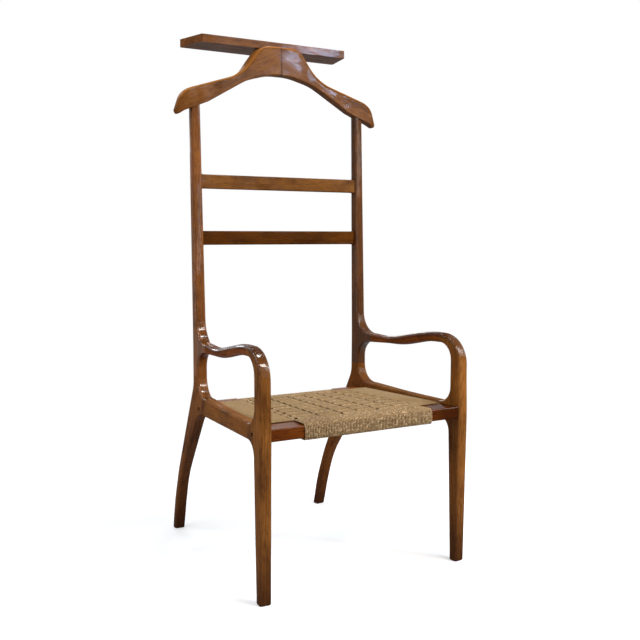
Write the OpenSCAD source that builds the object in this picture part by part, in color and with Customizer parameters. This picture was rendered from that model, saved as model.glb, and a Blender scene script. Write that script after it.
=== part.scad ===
// Clothes valet chair: two sculpted side frames, a coat hanger back with a tray, and a corded seat.
// Millimetres. +Z is up, the chair faces -Y, and the origin is on the floor under the middle of the chair.
// A side frame is drawn in its own flat plane, as [depth, height], with the front leg's axis at depth 0.

/* [Side frames] */
// Distance between the two front legs' axes
front_leg_spacing = 550; // [480:1:620]
// Angle by which each side frame turns in towards the back, in degrees
toe_in = 4.2; // [0:0.05:8]
// Thickness of a side frame at the seat
frame_thickness = 28.6; // [26:0.2:34]
// Thickness of a rear upright at its top
upright_top_thickness = 24.4; // [22:0.2:28]
// Radius of the rounded long edges of the legs and uprights
edge_radius = 6; // [4:0.5:8]
// Radius of the rounder long edges of the armrests
arm_edge_radius = 9.5; // [8:0.5:10]
// Top of the armrest where it is highest
arm_peak_height = 576; // [540:1:620]
// Depth of the dip along the armrest
arm_dip = 29; // [10:1:34]
// Height of the armrest's section at its joints
arm_section = 24; // [22:1:28]
// Angle by which the armrest leans outwards at the middle of its dip
arm_roll = 18; // [0:1:30]
// Depth of a front leg's foot
front_foot_depth = 25; // [21:1:32]
// Depth of a front leg just under the seat
front_leg_depth = 39; // [32:1:48]
// Depth of the post between seat and armrest
front_post_depth = 35; // [30:1:42]
// Depth of a rear leg's foot
rear_foot_depth = 23; // [21:1:32]
// Distance from the front leg's axis to the middle of the rear foot
foot_spacing = 611; // [570:1:640]
// Distance from the front leg's axis to the front of the rear post
rear_post_front = 397; // [380:1:420]
// Depth of the rear post between seat and armrest
rear_post_depth = 34; // [30:1:40]
// Depth of an upright at its top
upright_top_depth = 24; // [22:1:30]
// How far an upright's top leans back from the rear post
upright_lean = 13; // [0:1:30]
// How far an upright's top leans outwards
upright_splay = 1.5; // [0:0.5:8]

/* [Seat] */
// Top of the seat rails
seat_height = 398; // [360:1:430]
// How far the seat falls from its front edge to its back edge
seat_fall = 4.5; // [0:0.5:10]
// Height of the front and rear seat rails
seat_rail_height = 29; // [24:1:31]
// Depth of the front and rear seat rails
seat_rail_depth = 60; // [50:1:70]
// Distance from the front leg's axis back to the front face of the front seat rail
front_rail_setback = -13; // [-15:1:-8]
// Distance from the front leg's axis back to the front face of the rear seat rail
rear_rail_setback = 343; // [335:1:350]
// Width of the inner rails that carry the crosswise cords
seat_side_rail_width = 22; // [16:1:30]
// Width of the cord wrapping at the front seat rail
wrap_width = 357; // [300:1:400]
// Width of the cord wrapping at the rear seat rail
rear_wrap_width = 296; // [260:1:360]
// How far the rear seat rail is cut down under the cord
rear_rail_recess = 6; // [0:0.5:8]
// Thickness of the laid cord
cord_thickness = 4; // [3:0.5:5]
// Corner radius of the seat rails
seat_rail_corner = 3; // [1:0.5:6]

/* [Back rails] */
// Underside of the lower back rail
lower_rail_height = 797; // [740:1:830]
// Underside of the upper back rail
upper_rail_height = 941; // [880:1:980]
// Height of each back rail
back_rail_height = 36; // [25:1:45]
// Thickness of each back rail
back_rail_thickness = 17; // [13:1:19]
// How far each back rail flares at its ends
back_rail_flare = 4; // [1:0.5:6]

/* [Hanger] */
// Half of the hanger's width, from its seam to its tip
hanger_half_width = 301; // [290:1:315]
// Height of the hanger's crown
crown_height = 1318; // [1300:1:1324]
// Height of the hanger's underside at its seam
crown_underside = 1243; // [1238:1:1256]
// Height of the flat seats that stand on the uprights
hanger_seat_height = 1147; // [1140:1:1156]
// Thickness of the hanger's crown from front to back, at its top
hanger_thickness = 52; // [46:1:56]
// Thickness of the hanger's shoulders
shoulder_thickness = 28; // [26:0.5:34]
// Radius of the hanger's rounded long edges
hanger_edge_radius = 7; // [5:0.5:9]
// Radius of the rounder top edges of its shoulders
shoulder_edge_radius = 10.5; // [8:0.5:12]
// Length over which its tips are rounded in plan
hanger_nose_length = 26; // [20:1:34]
// How far its tips curve forward of its crown
hanger_tip_lead = 7; // [0:1:12]

/* [Tray] */
// Length of the tray
tray_length = 430; // [380:1:440]
// How much longer the tray's back edge is at each end
tray_flare = 22; // [0:1:26]
// Depth of the tray
tray_depth = 100; // [80:1:110]
// Thickness of the tray
tray_thickness = 20; // [16:1:24]
// Depth of the hollow in the tray's top
tray_hollow_depth = 6; // [3:0.5:8]
// Width of the rim round the tray's hollow
tray_rim = 12; // [8:1:16]
// Radius of the tray's corners
tray_corner = 5; // [2:0.5:8]
// How far the tray is let into the back of the crown
tray_rebate = 24; // [14:1:28]
// Width of the bracket that carries the tray
bracket_width = 52; // [40:1:60]
// Depth of the bracket under the tray
bracket_depth = 62; // [45:1:75]
// Height of the bracket behind the crown
bracket_height = 46; // [35:1:55]

/* [Fasteners] */
// Diameter of the dowels in the frame joints
dowel_diameter = 10; // [8:0.5:11]
// Length of the dowels in the frame joints
dowel_length = 40; // [30:1:50]
// Diameter of the thinner dowels in the back rails and the hanger's seam
thin_dowel_diameter = 8; // [6:0.5:9]
// Length of the thinner dowels
thin_dowel_length = 36; // [28:1:44]
// Diameter of the counterbores in the side frames
counterbore_diameter = 10; // [9:0.5:12]
// Depth of the counterbores
counterbore_depth = 9; // [6:0.5:12]
// Diameter of the frame bolts' shanks
bolt_diameter = 6; // [5:0.5:7]
// Length of the frame bolts' shanks
bolt_length = 70; // [60:1:90]
// Diameter of the frame bolts' heads
bolt_head_diameter = 9.6; // [8:0.2:9.8]
// Height of the frame bolts' heads
bolt_head_height = 5; // [3:0.5:6]
// Diameter of the barrel nuts in the seat rails
barrel_nut_diameter = 10; // [9:0.5:12]
// Length of the barrel nuts
barrel_nut_length = 16; // [12:1:20]
// Diameter of the tray's screws
screw_diameter = 4; // [3:0.5:5]

/* [Hidden] */

walnut = "#7a4a26";
dark_walnut = "#6a3d1f";
rush = "#c4a87c";
steel = "#8c8c90";
beech = "#d9b98a";

// Largest distance between a true arc and its chords
chord_error = 0.16;
// Steps in a quarter turn of a rounded edge
edge_steps = 3;
// Sides of the round holes, pins and bolts
round_sides = 48;
// Larger than any distance across the chair
far = 1600;
// How far a cut reaches past the face it starts from
over = 1;

// Places on the side frames, from front to back
arm_front_joint = 62;
arm_rear_joint = 338;
side_rail_front_joint = 62;
side_rail_rear_joint = 338;
rear_post_joint_height = 460;

// Places along the side rail and the armrest
side_rail_section = 34;
side_rail_front_rise = 5.5;
side_rail_rear_rise = 13;
side_rail_underside = seat_height - side_rail_section;
side_rail_front_top = seat_height + side_rail_front_rise;
side_rail_rear_top = seat_height + side_rail_rear_rise;
arm_joint_top = arm_peak_height - 0.5;
arm_dip_top = arm_peak_height - arm_dip;
arm_rear_top = arm_dip_top + 2;
arm_front_underside = arm_joint_top - arm_section;
arm_rear_underside = arm_rear_top - arm_section + 1;

foot_chamfer = 3;
foot_share = 0.35;
chamfer_share = 0.8;

rear_post_back = rear_post_front + rear_post_depth;
upright_back = rear_post_back + upright_lean * 0.8;
upright_front = upright_back - upright_top_depth;
upright_top_middle = upright_back - upright_top_depth / 2;
// How far the front of a leg lies before its axis
front_extent = 18;
rear_extent = (foot_spacing + rear_foot_depth / 2) * cos(toe_in) + frame_thickness / 2 * sin(toe_in);
// The origin's distance behind the front legs' axes, so that it lies in the middle of the chair's depth
mid_depth = (rear_extent - front_extent) / 2;

// Places of the seat's pieces
seat_slope = seat_fall / (rear_rail_setback + seat_rail_depth - front_rail_setback);
cord_play = 0.6;
cord_gap = cord_thickness + cord_play;
// How far the plan of the lengthwise cords reaches past the seat rails
wrap_reach = 10;
bolt_inset = 44.5;
front_bolt_depth = front_rail_setback + bolt_inset;
rear_bolt_depth = rear_rail_setback + bolt_inset;
bolt_drop = 16;
bolt_clearance = 0.4;
// How far the middle of a barrel nut lies from the end of its bolt
nut_inset = 14;
nut_depth = counterbore_depth + bolt_length - nut_inset;
peg_offset = 24;
short_dowel_length = thin_dowel_length - 6;
side_peg_length = 20;

// Places of the back rails, which are let into the uprights
arm_dip_depth = 268;
housing_depth = 3;
back_rail_edge = 3;
dowel_in_upright = 13;
upper_rail_top = upper_rail_height + back_rail_height + back_rail_flare;
dowel_steps = [0.27, 0.73];
back_rail_depth = rear_post_front + 29;
back_rail_middle = -mid_depth + back_rail_depth * cos(toe_in);
back_rail_end = front_leg_spacing / 2 - back_rail_depth * sin(toe_in) - frame_thickness / 2 + housing_depth + 1;

// Places of the hanger, whose underside slopes down from the crown to its tips
hanger_slope = 0.4;
crown_half_width = 55;
arch_start = 30;
arch_end = 100;
arch_drop = 19;
hanger_seat_inner = 34;
hanger_seat_outer = 32;
shoulder_inset = 128;
shoulder_rise = 91;
tip_inset = 20;
tip_rise = 39;
heel_reach = 10;
heel_drop = 8;
// Height above the line of the seats from which a long edge counts as a top edge
top_edge_rise = 20;
// Distances over which one edge radius passes into the other
edge_passage = 30;
crown_passage = 60;
// Share of the thickness that is left at the tips' ends
nose_end_share = 0.3;
// Share of the edge radius by which the arris of the underside is drawn in
arris_share = 0.5;
// The crown's back starts to sweep out this far under the crown's underside, over this height
sweep_drop = 14;
sweep_height = 46;
// How far the hanger's middle lies behind the middle of the uprights' tops
hanger_setback = 13;
hanger_seat_middle = front_leg_spacing / 2 - upright_top_middle * sin(toe_in) + upright_splay;
post_top_middle = -mid_depth + upright_top_middle * cos(toe_in);
hanger_middle = post_top_middle + hanger_setback;
// How far the tray's top stands above the crown
tray_rise = 16;
tray_top = crown_height + tray_rise;
tray_underside = tray_top - tray_thickness;
tray_front = hanger_middle + hanger_thickness / 2 - tray_rebate;
bracket_front = hanger_middle + hanger_thickness / 2;
screw_length = 26;
screw_head_diameter = 2 * screw_diameter;
screw_head_height = screw_diameter / 2;
screw_middle = bracket_front + short_dowel_length / 2 + screw_diameter + 3;
// The screws end under the tray's hollow
screw_cover = 3;
screw_seat_height = tray_top - tray_hollow_depth - screw_cover - screw_length;

// ---- Outlines -------------------------------------------------------------------------------

// A corner of an outline is [across, up, fillet radius, share].
// The share says how much of the edge rounding the edge after the corner takes: 0 at a flat joint.
function unit(v) = v / norm(v);
function turn_left(v) = [-v[1], v[0]];
function point(c) = [c[0], c[1]];

// How much of the edge between two corners a fillet may take
function free_length(a, b) = norm(point(a) - point(b)) * (a[2] == 0 ? 0.98 : 0.8);

// Points of one corner, each with the share of the edge that follows it
function corner_points(before, corner, after, last_share) =
    let (
        a = unit(point(before) - point(corner)),
        b = unit(point(after) - point(corner)),
        half = acos(max(-1, min(1, a * b))) / 2,
        room = min(free_length(before, corner), free_length(after, corner)),
        r = min(corner[2], room * tan(half)),
        reach = r / tan(half),
        centre = point(corner) + unit(a + b) * r / sin(half),
        start = point(corner) + a * reach - centre,
        sweep = 180 - 2 * half,
        side = a[0] * b[1] - a[1] * b[0] > 0 ? -1 : 1,
        steps = max(1, ceil(sweep / (2 * acos(1 - chord_error / max(r, 1)))))
    )
    r == 0 || sweep < 1
    ? [[corner[0], corner[1], corner[3]]]
    : [for (i = [0:steps])
        let (t = side * sweep * i / steps, share = i < steps ? last_share : corner[3])
        [
            centre[0] + start[0] * cos(t) - start[1] * sin(t),
            centre[1] + start[0] * sin(t) + start[1] * cos(t),
            share
        ]];

function outline(corners) =
    let (n = len(corners))
    [for (i = [0:n - 1])
        each corner_points(corners[(i + n - 1) % n], corners[i], corners[(i + 1) % n],
            corners[(i + n - 1) % n][3])];

// The outline drawn in by a part of the edge radius, less where an edge's share is under 1
function drawn_in(points, part, edge) =
    let (n = len(points))
    [for (i = [0:n - 1])
        let (
            p = point(points[i]),
            n1 = turn_left(unit(p - point(points[(i + n - 1) % n]))),
            n2 = turn_left(unit(point(points[(i + 1) % n]) - p)),
            distance = part * edge(p),
            d1 = distance * points[(i + n - 1) % n][2],
            d2 = distance * points[i][2],
            c = n1 * n2
        )
        c > 0.9
        ? p + unit(n1 + n2) * (d1 + d2) / 2 / sqrt((1 + c) / 2)
        : p + (n1 * (d1 - d2 * c) + n2 * (d2 - d1 * c)) / (1 - c * c)];

// ---- Flat faces cut into triangles, one ear at a time ----------------------------------------

function cross2(a, b, c) = (b[0] - a[0]) * (c[1] - a[1]) - (b[1] - a[1]) * (c[0] - a[0]);
function inside(p, a, b, c) = cross2(a, b, p) >= 0 && cross2(b, c, p) >= 0 && cross2(c, a, p) >= 0;
function is_ear(points, left, i) =
    let (
        n = len(left),
        ia = left[(i + n - 1) % n], ib = left[i], ic = left[(i + 1) % n],
        a = points[ia], b = points[ib], c = points[ic]
    )
    cross2(a, b, c) > 0.0001
    && len([for (k = left) if (k != ia && k != ib && k != ic && inside(points[k], a, b, c)) 1]) == 0;
// Of all ears, the one with the shortest cut gives the most even triangles
function cut_length(points, left, i) =
    let (n = len(left))
    norm(points[left[(i + n - 1) % n]] - points[left[(i + 1) % n]]);
function shortest(found) = let (low = min([for (f = found) f[0]])) [for (f = found) if (f[0] == low) f[1]][0];
function triangles(points, left, done = []) =
    let (n = len(left))
    n == 3
    ? concat(done, [left])
    : let (
        found = [for (i = [0:n - 1]) if (is_ear(points, left, i)) [cut_length(points, left, i), i]],
        i = shortest(found)
    )
    triangles(points, [for (k = [0:n - 1]) if (k != i) left[k]],
        concat(done, [[left[(i + n - 1) % n], left[i], left[(i + 1) % n]]]));

// ---- A board with rounded edges ---------------------------------------------------------------

// Its outline stands upright in the plane of Y and Z, and its thickness lies along X.
// At each point, edge(point) gives the radius of the rounded edge and half_thickness(point) half the thickness.
// The finished points are moved by bend(point).
module rounded_board(corners, edge, half_thickness, bend = function(p) p) {
    rim = outline(corners);
    n = len(rim);
    levels = concat(
        [for (i = [0:edge_steps]) [-1, 90 - 90 * i / edge_steps]],
        [for (i = [0:edge_steps]) [1, 90 * i / edge_steps]]);
    loops = [for (level = levels)
        let (drawn = drawn_in(rim, 1 - cos(level[1]), edge))
        [for (i = [0:n - 1])
            let (p = drawn[i], side = half_thickness(p) - edge(point(rim[i])) * (1 - sin(level[1])))
            [level[0] * side, p[0], p[1]]]];
    last = len(loops) - 1;
    cap = triangles([for (p = loops[last]) [p[1], p[2]]], [for (i = [0:n - 1]) i]);
    faces = concat(
        [for (t = cap) [t[0], t[1], t[2]]],
        [for (t = cap) [last * n + t[2], last * n + t[1], last * n + t[0]]],
        [for (k = [0:last - 1], i = [0:n - 1])
            let (j = (i + 1) % n)
            each [
                [k * n + i, (k + 1) * n + i, (k + 1) * n + j],
                [k * n + i, (k + 1) * n + j, k * n + j]
            ]]);
    polyhedron(points = [for (l = loops, p = l) bend(p)], faces = faces, convexity = 8);
}

// ---- Side frames --------------------------------------------------------------------------------

function between(a, b, t) = a + (b - a) * max(0, min(1, t));
// Half the side frame's thickness at [depth, height]
function frame_half(p) =
    between(frame_thickness, upright_top_thickness,
        (p[1] - arm_peak_height) / (hanger_seat_height - arm_peak_height)) / 2;

// The long edges are rounder along the armrest
function frame_edge(p) =
    between(edge_radius, arm_edge_radius,
        min(p[1] - (arm_front_underside - 60), p[0] - 20, arm_rear_joint - p[0]) / 60);

// Puts what is drawn in the right side frame's plane in its place
module in_right_frame() {
    translate([front_leg_spacing / 2, -mid_depth, 0])
    rotate([0, 0, toe_in])
    children();
}
module both_sides() {
    children();
    mirror([1, 0, 0]) children();
}
module rod(diameter, length) {
    cylinder(d = diameter, h = length, center = true, $fn = round_sides);
}

// Dowels of one side frame, each half in the piece in front of it and half in the piece behind it
module frame_dowels() {
    arm_front_middle = arm_joint_top - arm_section / 2;
    arm_rear_middle = (arm_rear_top + arm_rear_underside) / 2;
    rail_front_middle = (side_rail_front_top + side_rail_underside) / 2;
    rail_rear_middle = (side_rail_rear_top + side_rail_underside) / 2;
    for (place = [
        [arm_front_joint, arm_front_middle], [arm_rear_joint, arm_rear_middle],
        [side_rail_front_joint, rail_front_middle], [side_rail_rear_joint, rail_rear_middle]
    ])
        translate([0, place[0], place[1]]) rotate([90, 0, 0]) rod(dowel_diameter, dowel_length);
    translate([0, rear_post_front + rear_post_depth / 2, rear_post_joint_height])
    rod(dowel_diameter, dowel_length);
}

// A frame bolt's axis runs from the outer face of the side frame towards its inner face
module at_frame_bolts() {
    for (depth = [front_bolt_depth, rear_bolt_depth])
        translate([frame_thickness / 2, depth, seat_top(depth) - bolt_drop]) rotate([0, -90, 0]) children();
}
module bolt_bores() {
    at_frame_bolts() {
        translate([0, 0, -over])
        cylinder(d = counterbore_diameter, h = counterbore_depth + over, $fn = round_sides);
        cylinder(
            d = bolt_diameter + bolt_clearance,
            h = counterbore_depth + bolt_length + bolt_diameter / 2,
            $fn = round_sides
        );
    }
}
// Thin dowels beside the bolts keep the seat rails from turning
module at_seat_pegs() {
    for (depth = [front_bolt_depth, rear_bolt_depth] - [peg_offset, peg_offset])
        translate([-frame_thickness / 2, depth, seat_top(depth) - bolt_drop]) rotate([0, 90, 0]) children();
}

module front_leg_shape() {
    foot_front = -front_foot_depth / 2 + 3;
    foot_back = foot_front + front_foot_depth;
    post_front = -front_extent + 3.5;
    post_back = post_front + front_post_depth;
    rounded_board([
        [foot_front + foot_chamfer, 0, 0, foot_share],
        [foot_back - foot_chamfer, 0, 0, chamfer_share],
        [foot_back, foot_chamfer, 0, 1],
        [front_leg_depth - front_extent + 6, side_rail_underside, 48, 1],
        [side_rail_front_joint, side_rail_underside, 0, 0],
        [side_rail_front_joint, side_rail_front_top, 0, 1],
        [post_back + 1, side_rail_front_top, 46, 1],
        [post_back, arm_front_underside, 42, 1],
        [arm_front_joint, arm_front_underside, 0, 0],
        [arm_front_joint, arm_joint_top, 0, 1],
        [post_front, arm_joint_top - 1.5, 75, 1],
        [post_front, seat_height + 72, 600, 1],
        [-front_extent + 1, seat_height - 20, 500, 1],
        [foot_front, foot_chamfer, 0, chamfer_share]
    ], function(p) frame_edge(p), function(p) frame_half(p));
}

// The armrest dips in the middle, where it also leans outwards
function arm_middle(depth) =
    let (
        ends = (depth < arm_dip_depth ? arm_joint_top : arm_rear_top) - arm_section / 2,
        share = depth < arm_dip_depth
            ? (depth - arm_front_joint) / (arm_dip_depth - arm_front_joint)
            : (arm_rear_joint - depth) / (arm_rear_joint - arm_dip_depth)
    )
    ends + (arm_dip_top - arm_section / 2 - ends) * (1 - cos(180 * share)) / 2;
function arm_leaned(p) =
    let (
        share = max(0, min(1, (p[1] - arm_front_joint) / (arm_rear_joint - arm_front_joint))),
        angle = -arm_roll * pow(sin(180 * share), 2),
        middle = arm_middle(p[1]),
        up = p[2] - middle
    )
    [p[0] * cos(angle) - up * sin(angle), p[1], middle + p[0] * sin(angle) + up * cos(angle)];

module armrest_shape() {
    rounded_board([
        [arm_front_joint, arm_front_underside, 0, 1],
        [108, arm_front_underside - 1, 260, 1],
        [arm_dip_depth - 50, arm_rear_underside + 4, 420, 1],
        [arm_rear_joint, arm_rear_underside, 0, 0],
        [arm_rear_joint, arm_rear_top, 0, 1],
        [arm_dip_depth, arm_dip_top - 1, 300, 1],
        [128, arm_peak_height - 4, 300, 1],
        [88, arm_peak_height, 200, 1],
        [arm_front_joint, arm_joint_top, 0, 0]
    ], function(p) frame_edge(p), function(p) frame_half(p), function(p) arm_leaned(p));
}

// The upright's top is cut to the slope of the hanger's underside
function upright_topped(p) =
    let (
        share = max(0, min(1, (p[2] - upper_rail_top) / (hanger_seat_height - upper_rail_top))),
        across = front_leg_spacing / 2 + p[0] * cos(toe_in) - p[1] * sin(toe_in)
    )
    [p[0] + upright_shift(p[2]), p[1], p[2] - share * hanger_slope * (across - hanger_seat_middle)];
function upright_shift(height) =
    between(0, upright_splay, (height - arm_peak_height) / (hanger_seat_height - arm_peak_height));

module rear_upright_shape() {
    rounded_board([
        [rear_post_front, rear_post_joint_height, 0, 0],
        [rear_post_back, rear_post_joint_height, 0, 1],
        [rear_post_back - 1, arm_dip_top, 900, 1],
        [upright_back, hanger_seat_height, 0, 0],
        [upright_front, hanger_seat_height, 0, 1],
        [rear_post_front + 4, arm_rear_top, 58, 1],
        [arm_rear_joint, arm_rear_top, 0, 0],
        [arm_rear_joint, arm_rear_underside, 0, 1],
        [rear_post_front, arm_rear_underside - 3, 44, 1]
    ], function(p) frame_edge(p), function(p) frame_half(p), function(p) upright_topped(p));
}

module rear_leg_shape() {
    front = foot_spacing - rear_foot_depth / 2;
    back = front + rear_foot_depth;
    rounded_board([
        [front + foot_chamfer, 0, 0, foot_share],
        [back - foot_chamfer, 0, 0, chamfer_share],
        [back, foot_chamfer, 0, 1],
        [back - 19, 84, 400, 1],
        [back - 56, 180, 500, 1],
        [rear_post_back + 31, seat_height - 22, 110, 1],
        [rear_post_back, rear_post_joint_height - 26, 60, 1],
        [rear_post_back, rear_post_joint_height, 0, 0],
        [rear_post_front, rear_post_joint_height, 0, 1],
        [rear_post_front, side_rail_rear_top, 50, 1],
        [side_rail_rear_joint, side_rail_rear_top, 0, 0],
        [side_rail_rear_joint, side_rail_underside, 0, 1],
        [rear_post_front + 6, side_rail_underside, 70, 1],
        [front - 50, 166, 300, 1],
        [front - 20, 76, 300, 1],
        [front, foot_chamfer, 0, chamfer_share]
    ], function(p) frame_edge(p), function(p) frame_half(p));
}

module side_rail_shape() {
    rounded_board([
        [side_rail_front_joint, side_rail_underside, 0, 1],
        [side_rail_rear_joint, side_rail_underside, 0, 0],
        [side_rail_rear_joint, side_rail_rear_top, 0, 1],
        [(side_rail_front_joint + side_rail_rear_joint) / 2, side_rail_front_top + 1.5, 2400, 1],
        [side_rail_front_joint, side_rail_front_top, 0, 0]
    ], function(p) frame_edge(p), function(p) frame_half(p));
}

module seat_peg_bores() {
    at_seat_pegs() rod(thin_dowel_diameter, short_dowel_length);
}

module front_leg_right() {
    color(walnut) in_right_frame() difference() {
        front_leg_shape();
        frame_dowels();
        bolt_bores();
        seat_peg_bores();
    }
}
module armrest_right() {
    color(walnut) in_right_frame() difference() {
        armrest_shape();
        frame_dowels();
    }
}
module rear_upright_right() {
    color(walnut) difference() {
        in_right_frame() difference() {
            rear_upright_shape();
            frame_dowels();
        }
        back_rail_space(lower_rail_height);
        back_rail_space(upper_rail_height);
        back_rail_dowels();
        hanger_post_dowels();
    }
}
module rear_leg_right() {
    color(walnut) in_right_frame() difference() {
        rear_leg_shape();
        frame_dowels();
        bolt_bores();
        seat_peg_bores();
    }
}
module side_rail_right() {
    color(walnut) in_right_frame() difference() {
        side_rail_shape();
        frame_dowels();
    }
}
module front_leg_left() mirror([1, 0, 0]) front_leg_right();
module armrest_left() mirror([1, 0, 0]) armrest_right();
module rear_upright_left() mirror([1, 0, 0]) rear_upright_right();
module rear_leg_left() mirror([1, 0, 0]) rear_leg_right();
module side_rail_left() mirror([1, 0, 0]) side_rail_right();
module frame_dowels_right() color(beech) in_right_frame() frame_dowels();
module frame_dowels_left() mirror([1, 0, 0]) frame_dowels_right();

// ---- Seat -----------------------------------------------------------------------------------------

// Height of the seat's wooden top at a depth
function seat_top(depth) = seat_height - seat_slope * (depth - front_rail_setback);

// A slab across the chair that follows the seat's slope, drawn from the side
module seat_slab(front, back, corner, grow = 0, back_drop = 0) {
    translate([-front_leg_spacing / 2, -mid_depth, 0])
    rotate([90, 0, 90])
    linear_extrude(front_leg_spacing)
    rounded_polygon([
        [front - grow, seat_top(front) - seat_rail_height - grow],
        [back + grow, seat_top(back) - seat_rail_height - grow],
        [back + grow, seat_top(back) - back_drop + grow],
        [front - grow, seat_top(front) + grow]
    ], corner);
}
// The plan of the lengthwise cords, narrower at the back
module wrap_plan() {
    front = front_rail_setback - wrap_reach - mid_depth;
    back = rear_rail_setback + seat_rail_depth + wrap_reach - mid_depth;
    linear_extrude(seat_height + wrap_reach)
    polygon([
        [-wrap_width / 2, front], [wrap_width / 2, front],
        [rear_wrap_width / 2, back], [-rear_wrap_width / 2, back]
    ]);
}
// Everything outside the side frames' inner faces
module beyond_frames(gap = 0) {
    both_sides() in_right_frame()
    translate([-frame_thickness / 2 - gap, -far / 2, 0]) cube(far);
}
// Everything in front of the front seat rail's back and behind the rear seat rail's front
module outside_seat_rails() {
    for (front = [front_rail_setback + seat_rail_depth - far, rear_rail_setback])
        translate([-far / 2, front - mid_depth, 0]) cube(far);
}

module seat_rail(setback) {
    color(dark_walnut) difference() {
        seat_slab(setback, setback + seat_rail_depth, seat_rail_corner);
        beyond_frames();
        both_sides() in_right_frame() {
            bolt_bores();
            seat_peg_bores();
            at_barrel_nuts() translate([0, 0, -seat_rail_height])
            cylinder(
                d = barrel_nut_diameter,
                h = seat_rail_height + barrel_nut_length / 2,
                $fn = round_sides
            );
        }
        seat_side_rail_pegs();
        above_wrapped_slab();
    }
}
module front_seat_rail() seat_rail(front_rail_setback);
module rear_seat_rail() seat_rail(rear_rail_setback);
// What the lengthwise cords lie on, lower at the back than the exposed ends of the rear seat rail
module wrapped_slab(grow = 0) {
    seat_slab(front_rail_setback, rear_rail_setback + seat_rail_depth,
        seat_rail_corner + grow, grow, rear_rail_recess);
}
// The shallow recess that the seat rails have under the cords
module above_wrapped_slab() {
    intersection() {
        difference() {
            translate([0, 0, seat_rail_height / 2]) seat_slab(front_rail_setback + 10, foot_spacing, 0);
            seat_slab(front_rail_setback, rear_rail_setback + seat_rail_depth, 0, 0, rear_rail_recess);
        }
        wrap_plan();
    }
}

// The inner side rails stand clear of the side frames by the cord that is wound round them
module seat_side_rail_right() {
    color(dark_walnut) difference() {
        intersection() {
            seat_slab(front_rail_setback, rear_rail_setback + seat_rail_depth, 0);
            in_right_frame()
            translate([-frame_thickness / 2 - cord_gap - seat_side_rail_width, 0, 0])
            cube([seat_side_rail_width, foot_spacing, seat_height]);
        }
        outside_seat_rails();
        seat_side_rail_pegs();
    }
}
module seat_side_rail_left() mirror([1, 0, 0]) seat_side_rail_right();
module seat_side_rail_pegs() {
    both_sides()
    for (depth = [front_rail_setback + seat_rail_depth, rear_rail_setback])
        in_right_frame()
        translate([
            -frame_thickness / 2 - cord_gap - seat_side_rail_width / 2,
            depth,
            seat_top(depth) - seat_rail_height / 2
        ])
        rotate([90, 0, 0]) rod(thin_dowel_diameter, side_peg_length);
}
module seat_rail_dowels() {
    color(beech) {
        both_sides() in_right_frame() seat_peg_bores();
        seat_side_rail_pegs();
    }
}

// Lengthwise cords wrap the front and rear rails, and crosswise cords wrap the inner side rails
module cord_seat() {
    front = front_rail_setback;
    back = rear_rail_setback + seat_rail_depth;
    color(rush) {
        intersection() {
            difference() {
                wrapped_slab(cord_thickness);
                wrapped_slab();
            }
            wrap_plan();
        }
        difference() {
            seat_slab(front, back, 0, cord_thickness);
            difference() {
                seat_slab(front, back, 0);
                beyond_frames(cord_gap);
            }
            beyond_frames(cord_gap - cord_thickness);
            outside_seat_rails();
            wrap_plan();
        }
    }
}

// ---- Back rails -----------------------------------------------------------------------------------

// Everything beyond the floors of the housings, which are cut into the uprights' inner faces
module beyond_housings(underside) {
    both_sides() in_right_frame()
    translate([upright_shift(underside) - frame_half([0, underside]) + housing_depth, -far / 2, 0])
    cube(far);
}
module back_rail_space(underside) {
    difference() {
        translate([
            -front_leg_spacing / 2,
            back_rail_middle - back_rail_thickness / 2,
            underside - back_rail_flare
        ])
        cube([front_leg_spacing, back_rail_thickness, back_rail_height + 2 * back_rail_flare]);
        beyond_housings(underside);
    }
}
module back_rail(underside) {
    top = underside + back_rail_height;
    half_length = front_leg_spacing / 2 - frame_thickness / 2;
    flare_start = half_length - 34;
    flare_end = half_length - 16;
    color(dark_walnut) difference() {
        translate([0, back_rail_middle, 0]) rotate([0, 0, -90])
        rounded_board([
            [-flare_start, underside, 20, 1],
            [flare_start, underside, 20, 1],
            [flare_end, underside - back_rail_flare, 0, 1],
            [half_length, underside - back_rail_flare, 0, 0],
            [half_length, top + back_rail_flare, 0, 1],
            [flare_end, top + back_rail_flare, 0, 1],
            [flare_start, top, 20, 1],
            [-flare_start, top, 20, 1],
            [-flare_end, top + back_rail_flare, 0, 1],
            [-half_length, top + back_rail_flare, 0, 0],
            [-half_length, underside - back_rail_flare, 0, 1],
            [-flare_end, underside - back_rail_flare, 0, 1]
        ], function(p) back_rail_edge, function(p) back_rail_thickness / 2);
        beyond_housings(underside);
        back_rail_dowels();
    }
}
module lower_back_rail() back_rail(lower_rail_height);
module upper_back_rail() back_rail(upper_rail_height);

// Two dowels at each end of each back rail
module back_rail_dowels() {
    color(beech) both_sides()
    for (underside = [lower_rail_height, upper_rail_height], step = dowel_steps)
        translate([
            back_rail_end - thin_dowel_length / 2 + dowel_in_upright,
            back_rail_middle,
            underside + step * back_rail_height
        ])
        rotate([0, 90, 0]) rod(thin_dowel_diameter, thin_dowel_length);
}

// ---- Hanger ---------------------------------------------------------------------------------------

// Height of the line of the flat seats on the uprights, at a distance from the seam
function seat_line(x) = hanger_seat_height - hanger_slope * (x - hanger_seat_middle);
function hanger_edge(p) =
    between(hanger_edge_radius, shoulder_edge_radius, min(
        (p[0] - crown_half_width) / crown_passage,
        (p[1] - seat_line(p[0]) - top_edge_rise) / edge_passage
    ));
// What is left of the thickness at a distance from the seam
function nose_share(x) =
    let (t = (x - hanger_half_width + hanger_nose_length) / hanger_nose_length)
    t <= 0 ? 1 : max(nose_end_share, sqrt(max(0, 1 - t * t)));
function tip_lead(x) = hanger_tip_lead * pow(max(0, x - crown_half_width) / hanger_half_width, 2);
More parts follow.
